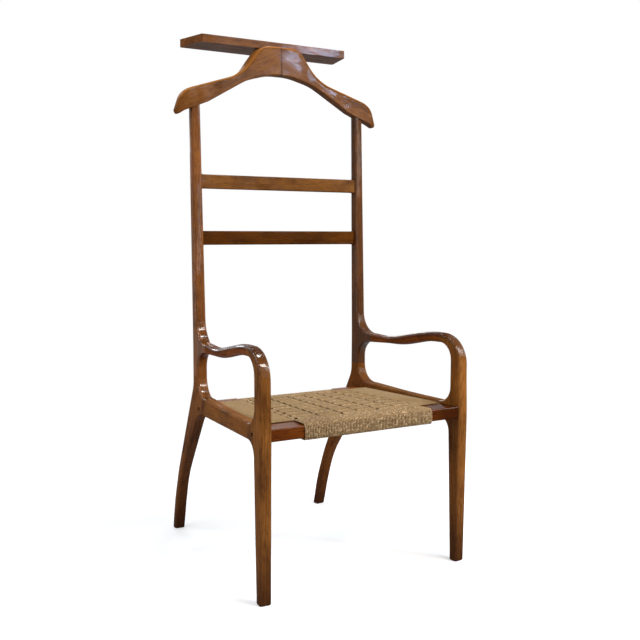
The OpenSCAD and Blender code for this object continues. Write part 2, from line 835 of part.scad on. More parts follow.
// The crown's back sweeps out to the tray above its underside
function hanger_depth(height) =
    let (t = max(0, min(1, (height - crown_underside + sweep_drop) / sweep_height)))
    shoulder_thickness + (hanger_thickness - shoulder_thickness) * t * t * (3 - 2 * t);
function hanger_shaped(p) =
    let (
        front = hanger_thickness / 2,
        depth = hanger_depth(p[2]),
        from_middle = (p[0] - front) * depth / hanger_thickness + depth / 2
    )
    [front - depth / 2 + from_middle * nose_share(p[1]) + tip_lead(p[1]), p[1], p[2]];

module hanger_half() {
    inner = hanger_seat_middle - hanger_seat_inner;
    outer = hanger_seat_middle + hanger_seat_outer;
    heel = hanger_half_width + heel_reach;
    translate([0, hanger_middle, 0]) rotate([0, 0, -90])
    rounded_board(
        [
            [0, crown_underside, 0, arris_share],
            [arch_start, crown_underside, 140, arris_share],
            [arch_end, crown_underside - arch_drop, 160, arris_share],
            [inner, seat_line(inner), 0, 0],
            [hanger_seat_middle, hanger_seat_height, 0, 0],
            [outer, seat_line(outer), 0, 1],
            [heel, seat_line(heel) - heel_drop, 8, 1],
            [hanger_half_width - tip_inset, hanger_seat_height + tip_rise, 52, 1],
            [hanger_seat_middle - shoulder_inset, hanger_seat_height + shoulder_rise, 126, 1],
            [crown_half_width, crown_height, 50, 1],
            [0, crown_height, 0, 0]
        ],
        function(p) hanger_edge(p),
        function(p) hanger_thickness / 2,
        function(p) hanger_shaped(p)
    );
}
module hanger_right() {
    color(walnut) difference() {
        hanger_half();
        tray_space();
        hanger_seam_dowels();
        hanger_post_dowels();
        bracket_dowels();
    }
}
module hanger_left() mirror([1, 0, 0]) hanger_right();

module hanger_seam_dowels() {
    color(beech)
    for (step = dowel_steps)
        translate([0, hanger_middle, crown_underside + step * (tray_underside - crown_underside)])
        rotate([0, 90, 0]) rod(thin_dowel_diameter, thin_dowel_length);
}
module hanger_post_dowels() {
    color(beech) both_sides()
    translate([hanger_seat_middle, post_top_middle, hanger_seat_height]) rod(dowel_diameter, dowel_length);
}

// ---- Tray ------------------------------------------------------------------------------------------

// The tray's plan, wider at the back than at the front, and drawn in by an inset
module tray_plan(inset, corner) {
    half = tray_length / 2 - inset;
    flare = tray_flare * (1 - 2 * inset / tray_depth);
    rounded_polygon([
        [-half, tray_front + inset], [half, tray_front + inset],
        [half + flare, tray_front + tray_depth - inset], [-half - flare, tray_front + tray_depth - inset]
    ], corner);
}
module rounded_polygon(corners, radius) {
    polygon([for (p = outline([for (c = corners) [c[0], c[1], radius, 1]])) point(p)]);
}
// The space of the tray, which is let into the back of the crown
module tray_space() {
    translate([-tray_length / 2, tray_front, tray_underside]) cube([tray_length, tray_depth, tray_thickness]);
}
module valet_tray() {
    color(walnut) difference() {
        translate([0, 0, tray_underside]) linear_extrude(tray_thickness) tray_plan(0, tray_corner);
        translate([0, 0, tray_top - tray_hollow_depth])
        linear_extrude(tray_thickness) tray_plan(tray_rim, tray_corner);
        tray_screws();
    }
}

// A bracket behind the crown, hollowed to a quarter circle, carries the tray
module tray_bracket() {
    hollow_radius = bracket_height - 14;
    head_clearance = 1;
    // The crown's back is cut out of the bracket's front
    reach = hanger_thickness - shoulder_thickness;
    color(dark_walnut) difference() {
        translate([-bracket_width / 2, bracket_front - reach, tray_underside - bracket_height])
        rotate([90, 0, 90])
        linear_extrude(bracket_width)
        difference() {
            square([bracket_depth + reach, bracket_height]);
            translate([bracket_depth + reach, 0]) circle(hollow_radius, $fn = 2 * round_sides);
        }
        both_sides() hanger_half();
        tray_screws();
        at_tray_screws()
        translate([0, 0, -bracket_height])
        cylinder(d = screw_head_diameter + head_clearance, h = bracket_height, $fn = round_sides);
        bracket_dowels();
    }
}

module at_tray_screws() {
    for (x = [-1, 1])
        translate([x * bracket_width / 4, screw_middle, screw_seat_height]) children();
}
module tray_screws() {
    color(steel) at_tray_screws() {
        cylinder(d = screw_diameter, h = screw_length, $fn = round_sides);
        translate([0, 0, -screw_head_height])
        cylinder(d = screw_head_diameter, h = screw_head_height, $fn = round_sides);
    }
}
module bracket_dowels() {
    color(beech)
    for (x = [-1, 1])
        translate([x * bracket_width / 4, bracket_front, tray_underside - bracket_height / 2])
        rotate([90, 0, 0]) rod(thin_dowel_diameter, short_dowel_length);
}

// ---- Bolts and nuts ---------------------------------------------------------------------------------

module at_barrel_nuts() {
    for (depth = [front_bolt_depth, rear_bolt_depth])
        translate([frame_thickness / 2 - nut_depth, depth, seat_top(depth) - bolt_drop]) children();
}
module frame_bolts() {
    color(steel) both_sides() in_right_frame() at_frame_bolts() {
        translate([0, 0, counterbore_depth]) cylinder(d = bolt_diameter, h = bolt_length, $fn = round_sides);
        difference() {
            translate([0, 0, counterbore_depth - bolt_head_height])
            cylinder(d = bolt_head_diameter, h = bolt_head_height, $fn = round_sides);
            translate([0, 0, counterbore_depth - bolt_head_height - over])
            cylinder(d = bolt_head_diameter / 2, h = bolt_head_height / 2 + over, $fn = 6);
        }
    }
}
module barrel_nuts() {
    color(steel) both_sides() in_right_frame() difference() {
        at_barrel_nuts() rod(barrel_nut_diameter, barrel_nut_length);
        at_frame_bolts() cylinder(d = bolt_diameter, h = counterbore_depth + bolt_length, $fn = round_sides);
    }
}

front_leg_left();
front_leg_right();
armrest_left();
armrest_right();
rear_upright_left();
rear_upright_right();
rear_leg_left();
rear_leg_right();
side_rail_left();
side_rail_right();
frame_dowels_left();
frame_dowels_right();
front_seat_rail();
rear_seat_rail();
seat_side_rail_left();
seat_side_rail_right();
seat_rail_dowels();
cord_seat();
lower_back_rail();
upper_back_rail();
back_rail_dowels();
hanger_left();
hanger_right();
hanger_seam_dowels();
hanger_post_dowels();
valet_tray();
tray_bracket();
tray_screws();
bracket_dowels();
frame_bolts();
barrel_nuts();
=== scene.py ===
"""Finishes a clothes valet chair: lacquered wood, a woven cord seat, steel bolts and a plain studio."""

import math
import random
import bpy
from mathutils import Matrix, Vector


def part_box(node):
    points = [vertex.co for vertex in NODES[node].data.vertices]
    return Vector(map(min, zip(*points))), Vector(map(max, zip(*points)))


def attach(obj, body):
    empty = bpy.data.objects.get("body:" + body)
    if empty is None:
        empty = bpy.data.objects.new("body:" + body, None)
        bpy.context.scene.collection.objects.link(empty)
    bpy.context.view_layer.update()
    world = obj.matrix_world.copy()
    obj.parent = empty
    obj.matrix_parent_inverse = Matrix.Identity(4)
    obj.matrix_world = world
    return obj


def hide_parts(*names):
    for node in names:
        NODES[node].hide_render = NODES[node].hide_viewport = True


bl_info = {
    "name": "Clothes valet chair",
    "version": (1, 0, 0),
    "blender": (4, 5, 0),
    "location": "View3D > Sidebar > Valet chair",
    "description": "Lacquered wood, a woven cord seat, steel bolts and a plain studio for a valet chair",
    "category": "Object",
}

from typing import NamedTuple

import bpy
from mathutils import Matrix, Vector

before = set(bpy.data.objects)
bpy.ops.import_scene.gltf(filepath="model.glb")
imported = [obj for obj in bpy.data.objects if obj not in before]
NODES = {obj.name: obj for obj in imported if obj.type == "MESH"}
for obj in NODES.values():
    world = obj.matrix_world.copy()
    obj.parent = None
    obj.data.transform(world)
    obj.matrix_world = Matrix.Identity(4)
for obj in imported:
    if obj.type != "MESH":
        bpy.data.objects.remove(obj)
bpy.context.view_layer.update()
MM = 0.001


# ---- Boards and fasteners -----------------------------------------------------------------------------


class Board(NamedTuple):
    """How a board lies in its log, how its lacquer shines, the painted highlight and shade on it, and where
    it is darker. A share goes from 0 to 1.
    """

    # Turn about X, Y and Z, in degrees, that brings the board's length along the grain, which is X
    turn: tuple = (0, 0, 0)
    # Distance from the heart of the log to the board, in metres, in the grain's own Y and Z
    heart: tuple = (0.05, 0.1)
    # Gloss of flat faces, what rounded edges that look up add to it, and other edges' share of that
    coat: float = 0.11
    polished: float = 0.65
    around: float = 0.0
    # Gloss that level tops add
    tops: float = 0.0
    # Share of paler wood on rounded edges, a painted highlight
    edge_highlight: float = 0.0
    # Share of painted shade, for the dark room that surfaces looking up reflect, of darkening at the right
    # end, and of dirt in a seam in the middle of the chair
    dark_reflection: float = 0.0
    dirty_end: float = 0.0
    seam: float = 0.0


BACK_RAIL = Board(heart=(0.04, 0.07), coat=0.05)
HANGER_HALF = Board(heart=(0.06, 0.05), coat=0.1, polished=0.3, edge_highlight=0.4, seam=0.85)
BOARDS = {
    "front_leg": Board((0, 90, 0), (0.05, 0.06), coat=0.06, polished=0.8, around=0.06, dark_reflection=0.9),
    "armrest": Board((0, 0, 90), (0.09, 0.03), coat=0.06, polished=0.8, around=0.06, tops=0.12, dark_reflection=0.9),
    "rear_upright": Board((0, 90, 0), (0.04, 0.11), coat=0.22, polished=0.8, around=0.2),
    "rear_leg": Board((-28, 90, 0), (0.07, 0.05), coat=0.06, polished=0.8, around=0.06),
    "side_rail": Board((0, 0, 90), (0.03, 0.08), coat=0.06, polished=0.1, around=0.06),
    "front_seat_rail": BACK_RAIL._replace(tops=0.24, dirty_end=0.7),
    "rear_seat_rail": BACK_RAIL._replace(tops=0.24),
    "lower_back_rail": BACK_RAIL,
    "upper_back_rail": BACK_RAIL,
    "seat_side_rail": Board((0, 0, 90), (0.05, 0.05), coat=0.1, tops=0.3),
    "hanger_left": HANGER_HALF._replace(turn=(0, 24, 0)),
    "hanger_right": HANGER_HALF._replace(turn=(0, -24, 0)),
    "valet_tray": Board(coat=0.12),
    "tray_bracket": Board((0, 90, 0)),
}
# How the colour of single pieces differs from the finish's own, in red, green and blue: partly each board's
# own tone, and partly painted light and shade for how brightly each board is lit
BOARD_TONES_AND_LIGHT = {
    "armrest_left": (0.85, 0.62, 0.5),
    "armrest_right": (0.9, 0.66, 0.42),
    "rear_upright_left": (0.86, 0.76, 0.7),
    "rear_upright_right": (0.46, 0.42, 0.45),
    "rear_leg_left": (0.85, 0.8, 0.9),
    "rear_leg_right": (0.85, 0.72, 0.55),
    "front_seat_rail": (0.56, 0.36, 0.2),
    "rear_seat_rail": (0.9, 0.7, 0.6),
    "seat_side_rail_left": (1.4, 1.2, 1.1),
    "seat_side_rail_right": (1.4, 1.2, 1.1),
    "lower_back_rail": (0.36, 0.28, 0.13),
    "upper_back_rail": (0.78, 0.8, 0.9),
    "hanger_left": (0.72, 0.67, 0.62),
    "hanger_right": (0.72, 0.67, 0.62),
    "valet_tray": (0.68, 0.6, 0.55),
    "tray_bracket": (0.8, 0.8, 0.8),
}
UNTINTED = (1, 1, 1)
# The operators give each of these boards a seed of its own, so that no two show the same figure
SIDE_FRAME_BOARDS = ("front_leg", "armrest", "rear_upright", "rear_leg", "side_rail")
RAIL_BOARDS = ("front_seat_rail", "rear_seat_rail", "lower_back_rail", "upper_back_rail")
DOWEL_NODES = (
    "frame_dowels_left", "frame_dowels_right", "seat_rail_dowels", "back_rail_dowels",
    "hanger_seam_dowels", "hanger_post_dowels", "bracket_dowels",
)
STEEL_NODES = ("frame_bolts", "barrel_nuts", "tray_screws")


# ---- Sizes and colours that a user may change -----------------------------------------------------------


class WoodFinish(bpy.types.PropertyGroup):
    """Colours and gloss of the lacquered wood"""

    light: bpy.props.FloatVectorProperty(
        name="Light grain", description="Colour of the wood between its darker lines",
        default=(0.295, 0.112, 0.023), subtype="COLOR", size=3, min=0, max=1)
    middle: bpy.props.FloatVectorProperty(
        name="Middle grain", description="Main colour of the wood",
        default=(0.168, 0.056, 0.0105), subtype="COLOR", size=3, min=0, max=1)
    # Dark grain also colours the painted shade for the dark room on what looks up, and the darkened feet and
    # right ends
    dark: bpy.props.FloatVectorProperty(
        name="Dark grain", description="Colour of the darkest lines, the pores and the dirt",
        default=(0.034, 0.008, 0.002), subtype="COLOR", size=3, min=0, max=1)
    ring_width: bpy.props.FloatProperty(
        name="Ring width", description="Distance between two year rings",
        default=5.5 * MM, unit="LENGTH", min=1 * MM, max=20 * MM)
    gloss: bpy.props.FloatProperty(
        name="Gloss", description="How smooth the wood is under its lacquer",
        default=0.62, subtype="FACTOR", min=0, max=1)


class CordSeat(bpy.types.PropertyGroup):
    """Sizes and colours of the woven cord seat"""

    cord: bpy.props.FloatProperty(
        name="Cord", description="Diameter of the twisted paper cord",
        default=4.15 * MM, unit="LENGTH", min=2 * MM, max=6 * MM)
    lay: bpy.props.FloatProperty(
        name="Lay", description="Length in which the cord's three strands turn once",
        default=15 * MM, unit="LENGTH", min=6 * MM, max=40 * MM)
    step: bpy.props.FloatProperty(
        name="Step", description="Distance between two rings of a cord's mesh",
        default=2.5 * MM, unit="LENGTH", min=1 * MM, max=6 * MM)
    crosswise: bpy.props.IntProperty(
        name="Crosswise cords", description="Number of cords from side to side", default=68, min=10, max=140)
    bundle: bpy.props.IntProperty(
        name="Cords in a bundle", description="Crosswise cords that go over and under together",
        default=4, min=1, max=12)
    width: bpy.props.FloatProperty(
        name="Width", description="Width of the lengthwise cords on the front rail",
        default=357 * MM, unit="LENGTH", min=250 * MM, max=420 * MM)
    rear_width: bpy.props.FloatProperty(
        name="Rear width", description="Width of the lengthwise cords on the rear rail",
        default=296 * MM, unit="LENGTH", min=200 * MM, max=400 * MM)
    opening: bpy.props.FloatProperty(
        name="Opening", description="How far the crosswise cords part between two lengthwise bundles",
        default=3.3 * MM, unit="LENGTH", min=0, max=5 * MM)
    drawing_in: bpy.props.FloatProperty(
        name="Drawing in", description="How far each side of a lengthwise bundle is drawn in by the weave",
        default=4.6 * MM, unit="LENGTH", min=0, max=8 * MM)
    lift: bpy.props.FloatProperty(
        name="Lift", description="How far a bundle rises and falls where it passes over and under",
        default=3.6 * MM, unit="LENGTH", min=1 * MM, max=5 * MM)
    # The lengthwise paper is lighter than the crosswise: partly the paper's own tone, and partly painted
    # light for the lit front wrap of the lengthwise cords
    pale: bpy.props.FloatVectorProperty(
        name="Pale paper", description="Colour of the lengthwise cords' crests",
        default=(0.78, 0.52, 0.28), subtype="COLOR", size=3, min=0, max=1)
    yellow: bpy.props.FloatVectorProperty(
        name="Yellow paper", description="Colour of the crosswise cords' crests",
        default=(0.41, 0.267, 0.13), subtype="COLOR", size=3, min=0, max=1)
    # Deep paper darkens the uneven spots, and as painted shade the grooves between the strands
    deep: bpy.props.FloatVectorProperty(
        name="Deep paper", description="Colour from which the grooves and the spots are darkened",
        default=(0.43, 0.25, 0.09), subtype="COLOR", size=3, min=0, max=1)
    # The hollows' colour is painted shade deep in the weave
    hollow: bpy.props.FloatVectorProperty(
        name="Hollows", description="Colour of the cord deep in the weave",
        default=(0.03, 0.006, 0.002), subtype="COLOR", size=3, min=0, max=1)


class Studio(bpy.types.PropertyGroup):
    """The camera and the floor"""

    camera_place: bpy.props.FloatVectorProperty(
        name="Camera", description="Place of the camera",
        default=(-1.1711, -2.0388, 0.8176), unit="LENGTH", subtype="TRANSLATION", size=3)
    turn: bpy.props.FloatProperty(
        name="Turn", description="How far the camera looks to the right of straight on",
        default=math.radians(30.93), unit="ROTATION")
    tilt: bpy.props.FloatProperty(
        name="Tilt", description="How far the camera looks down", default=math.radians(5.25), unit="ROTATION")
    lens: bpy.props.FloatProperty(
        name="Lens", description="Focal length for a sensor 36 mm wide",
        default=50.89, unit="CAMERA", min=10, max=200)
    floor: bpy.props.FloatProperty(
        name="Floor", description="Half the width of the floor", default=6.0, unit="LENGTH", min=1)


# ---- Nodes of a material --------------------------------------------------------------------------------


class Sheet:
    """The node tree of a material or of the world, with short calls that add nodes and join them"""

    def __init__(self, owner, output="ShaderNodeOutputMaterial"):
        self.owner = owner
        owner.use_nodes = True
        self.tree = owner.node_tree
        self.tree.nodes.clear()
        self.output = self.add(output)

    def add(self, kind, inputs=None, **settings):
        """A new node. inputs maps a socket's name or number to a value or to another node's socket."""
        made = self.tree.nodes.new(kind)
        for key, value in settings.items():
            setattr(made, key, value)
        for key, value in (inputs or {}).items():
            if isinstance(value, bpy.types.NodeSocket):
                self.tree.links.new(value, made.inputs[key])
            else:
                made.inputs[key].default_value = value
        return made

    def math(self, operation, a, b=0.0, c=0.0):
        return self.add("ShaderNodeMath", {0: a, 1: b, 2: c}, operation=operation).outputs[0]

    def coordinates(self, kind="Object"):
        return self.add("ShaderNodeTexCoord").outputs[kind]

    def parts(self, vector):
        """The X, Y and Z of a vector"""
        return self.add("ShaderNodeSeparateXYZ", {0: vector}).outputs

    def blend(self, share, a, b, kind="MIX"):
        """Colour a with colour b over it, as far as share says"""
        return self.add(
            "ShaderNodeMix", {0: share, 6: a, 7: b}, data_type="RGBA", blend_type=kind).outputs[2]

    def layered(self, colour, *layers):
        """A colour with others over it: each layer is the share of it that covers, and its colour"""
        for share, over in layers:
            colour = self.blend(share, colour, over)
        return colour

    def steps(self, value, *stops):
        """A ramp of greys: each stop is its place and its grey"""
        ramp = self.add("ShaderNodeValToRGB", {0: value})
        elements = ramp.color_ramp.elements
        while len(elements) < len(stops):
            elements.new(0.5)
        for element, (place, grey) in zip(elements, stops):
            element.position = place
            element.color = (grey, grey, grey, 1)
        return ramp.outputs[0]

    def noise(self, coordinates, scale, detail=2.0, roughness=0.5):
        """Soft noise. A scale of three numbers, for X, Y and Z, draws it out where they are small."""
        if isinstance(scale, tuple):
            coordinates = self.add("ShaderNodeMapping", {"Vector": coordinates, "Scale": scale}).outputs[0]
            scale = 1.0
        return self.add("ShaderNodeTexNoise", {
            "Vector": coordinates, "Scale": scale, "Detail": detail, "Roughness": roughness}).outputs[0]

    def finish(self, surface):
        self.tree.links.new(surface.outputs[0], self.output.inputs[0])
        return self.owner


def rgba(colour, times=1.0):
    """A colour for a socket, made lighter or darker by a factor, but no lighter than 1"""
    return (*(min(1.0, part * times) for part in colour), 1.0)


# A wave texture of scale 1 has this many radians of rings to the metre
WAVE_RADIANS = 20
# How far, in metres, the year rings wander across the grain
RING_WANDER = (0.0, 0.07, 0.07)
# Step along the grain from one seed's piece of log to the next
SEED_STEP = 0.37
# What year rings and streaks each give to the figure, and its level without them
RINGS_IN_FIGURE, STREAKS_IN_FIGURE, PLAIN_FIGURE = 0.22, 0.5, 0.17
# Depths in millimetres of the streaks, the pores and the unevenness left by the spokeshave
STREAK_DEPTH, PORE_DEPTH, SHAPING_DEPTH = 0.16, 0.08, 4.0
# Roughness of the wood between its streaks without gloss, what full gloss takes from it, and what the
# streaks add
DULL_ROUGHNESS, GLOSS_GAIN, STREAK_ROUGHNESS = 0.62, 0.48, 0.16
# The wood darkens below the first height and not above the second, which clouds make uneven
FOOT_DARK, FOOT_UNDARKENED = 0.06, 0.22
# The painted shade for the dark room reaches what is above the first height, and fully what is above the
# second
DARK_REFLECTION_FROM, DARK_REFLECTION_FULL = 0.5, 0.58
# Where the darkening of a right end begins and is full, and half the width of a seam's dirt, from the middle
END_FROM, END_FULL = 0.16, 0.22
SEAM_DARK, SEAM_CLEAN = 0.6 * MM, 1.4 * MM


def wood_figure(sheet, place, board, seed):
    """The figure of a board, from light at 0 to dark at 1, and its streaks, clouds and pores"""
    look = bpy.context.scene.wood_finish
    turned = sheet.add("ShaderNodeMapping", {
        "Vector": place, "Rotation": [math.radians(angle) for angle in board.turn]}).outputs[0]
    along = sheet.add("ShaderNodeMapping", {
        "Vector": turned, "Location": (seed * SEED_STEP, *board.heart)}).outputs[0]
    wander = sheet.add("ShaderNodeVectorMath", {
        0: RING_WANDER, "Scale": sheet.noise(along, (3, 9, 9), detail=3)}, operation="SCALE").outputs[0]
    rings = sheet.add("ShaderNodeTexWave", {
        "Vector": sheet.add("ShaderNodeVectorMath", {0: along, 1: wander}, operation="ADD").outputs[0],
        "Scale": math.tau / (WAVE_RADIANS * look.ring_width),
        "Distortion": 1.6, "Detail": 2.0, "Detail Scale": 0.6,
    }, wave_type="RINGS", rings_direction="X", wave_profile="SAW").outputs[1]
    streaks = sheet.noise(along, (7, 150, 150), detail=4, roughness=0.62)
    clouds = sheet.noise(along, (9, 24, 24), detail=4, roughness=0.6)
    pores = sheet.steps(sheet.noise(along, (45, 900, 900)), (0.34, 1), (0.46, 0))
    figure = sheet.math(
        "ADD", sheet.math("MULTIPLY", rings, RINGS_IN_FIGURE),
        sheet.math("MULTIPLY_ADD", streaks, STREAKS_IN_FIGURE, PLAIN_FIGURE))
    return figure, streaks, clouds, pores


def gloss_and_highlight_edges(sheet, normal, upward, around):
    """1 on a board's rounded edges that look up, where dusting polishes them, the share around on its other
    edges, and 0 elsewhere. The lacquer's gloss follows it, and so does the painted highlight of paler edges."""
    straight = sheet.add("ShaderNodeVectorMath", {0: normal}, operation="ABSOLUTE").outputs[0]
    x, y, z = sheet.parts(straight)
    flat = sheet.math("MAXIMUM", x, sheet.math("MAXIMUM", y, z))
    lit = sheet.math("MULTIPLY_ADD", sheet.steps(upward, (0.2, 0), (0.5, 1)), 1 - around, around)
    return sheet.math("MULTIPLY", sheet.steps(flat, (0.88, 1), (0.97, 0)), lit)


def lacquered_wood(name, board, seed, tone_and_light):
    """Wood with year rings, streaks, clouds and pores along its grain, dirt in a seam, darker feet and right
    ends, painted shade for the dark room on what looks up and a painted highlight on rounded edges, under a
    lacquer that is polished on its rounded edges. The seed says which piece of the log the board is."""
    look = bpy.context.scene.wood_finish
    light, middle, dark = rgba(look.light), rgba(look.middle), rgba(look.dark)
    sheet = Sheet(bpy.data.materials.new(name))
    place, normal = sheet.coordinates(), sheet.coordinates("Normal")
    across, _, height = sheet.parts(place)
    upward = sheet.parts(normal)["Z"]
    figure, streaks, clouds, pores = wood_figure(sheet, place, board, seed)
    edges = gloss_and_highlight_edges(sheet, normal, upward, board.around)

    foot = sheet.math("ADD", height, sheet.math("MULTIPLY", clouds, 0.12))
    layers = [
        # The figure's main colour and its darkest lines
        (sheet.steps(figure, (0.3, 0), (0.72, 1)), middle),
        (sheet.steps(figure, (0.58, 0), (0.85, 0.6)), dark),
        # Pale clouds and dark ones
        (sheet.steps(clouds, (0.28, 0.4), (0.46, 0)), rgba(look.light, 1.5)),
        (sheet.steps(clouds, (0.5, 0), (0.72, 0.68)), dark),
        # Pores and dark feet
        # Pores, and the wood darker towards the floor
        (sheet.math("MULTIPLY", pores, 0.6), dark),
        (sheet.steps(foot, (FOOT_DARK, 0.75), (FOOT_UNDARKENED, 0)), dark),
    ]
    if board.seam:
        from_middle = sheet.math("ABSOLUTE", across)
        layers.append((sheet.steps(from_middle, (SEAM_DARK, board.seam), (SEAM_CLEAN, 0)), dark))
    # Darker towards the right end
    if board.dirty_end:
        layers.append((sheet.steps(across, (END_FROM, 0), (END_FULL, board.dirty_end)), dark))
    if board.dark_reflection:
        # Painted shade, for the dark room that what looks up reflects, unevenly, as the clouds are
        upper = sheet.math("ADD", upward, sheet.math("MULTIPLY", clouds, 0.4))
        reflects_dark = sheet.steps(upper, (0.14, 0), (0.46, board.dark_reflection))
        high = sheet.steps(height, (DARK_REFLECTION_FROM, 0), (DARK_REFLECTION_FULL, 1))
        layers.append((sheet.math("MULTIPLY", reflects_dark, high), dark))
    # The board's own tone and its painted light and shade multiply the colour
    tinted = sheet.blend(1.0, sheet.layered(light, *layers), (*tone_and_light, 1.0), "MULTIPLY")
    # Painted highlight: the rounded edges that look up are made paler
    colour = sheet.blend(sheet.math("MULTIPLY", edges, board.edge_highlight), tinted, rgba(look.light, 1.9))

    level = sheet.steps(upward, (0.9, 0), (0.97, board.tops))
    polish = sheet.math("ADD", sheet.math("MULTIPLY_ADD", edges, board.polished, board.coat), level)
    grooves = sheet.math(
        "SUBTRACT", sheet.math("MULTIPLY", streaks, STREAK_DEPTH), sheet.math("MULTIPLY", pores, PORE_DEPTH))
    shaping = sheet.math("MULTIPLY", sheet.noise(place, 14, detail=1), SHAPING_DEPTH)
    bump = sheet.add("ShaderNodeBump", {
        "Strength": 1.0, "Distance": MM, "Height": sheet.math("ADD", grooves, shaping)}).outputs[0]
    least_rough = DULL_ROUGHNESS - GLOSS_GAIN * look.gloss
    return sheet.finish(sheet.add("ShaderNodeBsdfPrincipled", {
        "Base Color": colour,
        "Roughness": sheet.math("ADD", sheet.math("MULTIPLY", streaks, STREAK_ROUGHNESS), least_rough),
        "Normal": bump,
        "Specular IOR Level": 0.0,
        "Coat Weight": polish,
        "Coat Roughness": 0.06,
        "Coat IOR": 1.5,
        "Coat Normal": bump,
    }))


def twisted_paper(name, paper, spots):
    """Paper cord, with painted shade between its strands and in the hollows of the weave, a painted highlight
    on the hollows' lips, and uneven along its length. spots is how strong the uneven places are."""
    look = bpy.context.scene.cord_seat
    sheet = Sheet(bpy.data.materials.new(name))
    crest = sheet.add("ShaderNodeAttribute", attribute_name="crest").outputs["Fac"]
    lie = sheet.add("ShaderNodeAttribute", attribute_name="lie").outputs["Vector"]
    shade_share = sheet.parts(lie)["Z"]
    lip_highlight_share = sheet.math("MULTIPLY", shade_share, -1.0)
    uneven = sheet.noise(lie, (7.3, 190, 0), roughness=0.6)
    colour = sheet.layered(
        # Painted shade in the grooves, with the strands over them
        rgba(look.deep, 0.4),
        (sheet.steps(crest, (0.15, 0), (0.85, 1)), rgba(paper)),
        # Dark and pale spots
        (sheet.steps(uneven, (0.46, 0), (0.62, spots)), rgba(look.deep, 0.5)),
        (sheet.steps(uneven, (0.34, 0.9 * spots), (0.46, 0)), rgba(paper, 1.4)),
        # Painted highlight on the lips of the weave's hollows, and painted shade in the hollows themselves
        (sheet.steps(lip_highlight_share, (0.3, 0), (0.9, 0.3)), rgba(look.pale, 1.1)),
        (sheet.steps(shade_share, (0.14, 0), (0.42, 0.99)), rgba(look.hollow)))
    fibre = sheet.noise(sheet.coordinates(), 900, detail=3, roughness=0.6)
    bump = sheet.add("ShaderNodeBump", {
        "Strength": 0.35, "Distance": 0.2 * MM, "Height": fibre}).outputs[0]
    return sheet.finish(sheet.add("ShaderNodeBsdfPrincipled", {
        "Base Color": colour,
        "Specular IOR Level": 0.06,
        "Roughness": 0.72,
        "Normal": bump,
        "Sheen Weight": 0.04,
        "Sheen Roughness": 0.5,
    }))


STEEL_BLACK, STEEL_WORN = (0.006, 0.0055, 0.005), (0.03, 0.027, 0.025)
BEECH_PALE, BEECH_BROWN = (0.62, 0.44, 0.25), (0.45, 0.29, 0.15)


def blackened_steel(name):
    """Bolts with a dull, slightly rubbed dark surface"""
    sheet = Sheet(bpy.data.materials.new(name))
    grime = sheet.noise(sheet.coordinates(), 400, detail=4)
    return sheet.finish(sheet.add("ShaderNodeBsdfPrincipled", {
        "Base Color": sheet.blend(grime, rgba(STEEL_BLACK), rgba(STEEL_WORN)),
        "Metallic": 1.0,
        "Roughness": sheet.math("ADD", sheet.math("MULTIPLY", grime, 0.25), 0.3),
    }))


def dowel_wood(name):
    """Plain pale wood of the hidden dowels, with fine streaks"""
    sheet = Sheet(bpy.data.materials.new(name))
    streaks = sheet.noise(sheet.coordinates(), (60, 60, 400), detail=3)
    colour = sheet.blend(streaks, rgba(BEECH_PALE), rgba(BEECH_BROWN))
    return sheet.finish(sheet.add("ShaderNodeBsdfPrincipled", {"Base Color": colour, "Roughness": 0.6}))


# ---- Carried-over CAD pieces ------------------------------------------------------------------------------

# Edges that bend more than this stay sharp
SHARP_BEND = math.radians(38)
# Corners closer than this are one
WELD_DISTANCE = 0.02 * MM
# How much large faces count in the shading, where 50 is neutral
LARGE_FACE_WEIGHT = 60


def smooth_by_angle():
    """A geometry node group that shades a mesh smooth, apart from its sharp edges"""
    known = bpy.data.node_groups.get("smooth_by_angle")
    if known:
        return known
    group = bpy.data.node_groups.new("smooth_by_angle", "GeometryNodeTree")
    group.interface.new_socket("Geometry", in_out="INPUT", socket_type="NodeSocketGeometry")
    group.interface.new_socket("Geometry", in_out="OUTPUT", socket_type="NodeSocketGeometry")
    nodes, links = group.nodes, group.links
    start, end = nodes.new("NodeGroupInput"), nodes.new("NodeGroupOutput")
    plain = nodes.new("GeometryNodeRemoveAttribute")
    plain.inputs["Name"].default_value = "custom_normal"
    faces = nodes.new("GeometryNodeSetShadeSmooth")
    edges = nodes.new("GeometryNodeSetShadeSmooth")
    edges.domain = "EDGE"
    angle = nodes.new("GeometryNodeInputMeshEdgeAngle")
    flat_enough = nodes.new("ShaderNodeMath")
    flat_enough.operation = "LESS_THAN"
    flat_enough.inputs[1].default_value = SHARP_BEND
    links.new(angle.outputs[0], flat_enough.inputs[0])
    links.new(start.outputs[0], plain.inputs[0])
    links.new(plain.outputs[0], faces.inputs[0])
    links.new(faces.outputs[0], edges.inputs["Geometry"])
    links.new(flat_enough.outputs[0], edges.inputs["Shade Smooth"])
    links.new(edges.outputs[0], end.inputs[0])
    return group


def finish_node(name, material):
    """Gives a CAD node its material and shades its rounded faces smooth"""
    node = NODES[name]
    node.data.materials.clear()
    node.data.materials.append(material)
    weld = node.modifiers.new("weld", "WELD")
    weld.merge_threshold = WELD_DISTANCE
    node.modifiers.new("smooth", "NODES").node_group = smooth_by_angle()
    even = node.modifiers.new("even", "WEIGHTED_NORMAL")
    even.keep_sharp = True
    even.weight = LARGE_FACE_WEIGHT


def finish_board(name, board, seed):
    """Gives a wooden CAD node its own piece of lacquered wood"""
    tone_and_light = BOARD_TONES_AND_LIGHT.get(name, UNTINTED)
    finish_node(name, lacquered_wood(f"wood_{name}", board, seed, tone_and_light))


